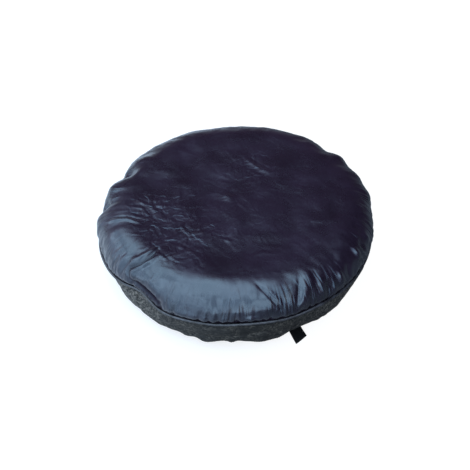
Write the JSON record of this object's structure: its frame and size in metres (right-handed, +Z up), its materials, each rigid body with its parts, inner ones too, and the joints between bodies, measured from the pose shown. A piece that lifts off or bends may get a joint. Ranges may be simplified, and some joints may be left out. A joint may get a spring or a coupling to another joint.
{
  "type": "spare tire cover",
  "caption": "Black vinyl spare tire cover with a round face, welted seam, side band, gathered elastic hem and webbing pull tab, in the shape it holds over its tire.",
  "frame": {"origin": "on the floor under the centre of the cover, on the axis of its tire", "axes": "+Z up out of the face along the tire's axis, -Y towards the front, where the pull tab lies a little to the right, +X to the right"},
  "size_m": [0.691, 0.6902, 0.1905],
  "materials": {
    "black_vinyl": "black vinyl with a fine leather grain, semi-gloss",
    "grained_vinyl": "black vinyl with a coarser grain, matt",
    "cotton_cord": "undyed cotton",
    "elastic": "black knitted elastic",
    "webbing": "black woven webbing"
  },
  "bodies": {
    "cover": {"face_panel": "black_vinyl", "welt_wrap": "black_vinyl", "welt_cord": "cotton_cord", "side_band_front": "grained_vinyl", "side_band_rear": "grained_vinyl", "hem_elastic": "elastic", "tab_anchor": "webbing"},
    "tab": {"pull_tab": "webbing"}
  },
  "joints": [
    {"name": "tab_fold", "type": "hinge", "parent": "cover", "child": "tab", "pos_m": [0.1326, -0.26024, 0.00665], "axis": [-0.891, -0.454, 0], "range_deg": [-75, 40]}
  ]
}
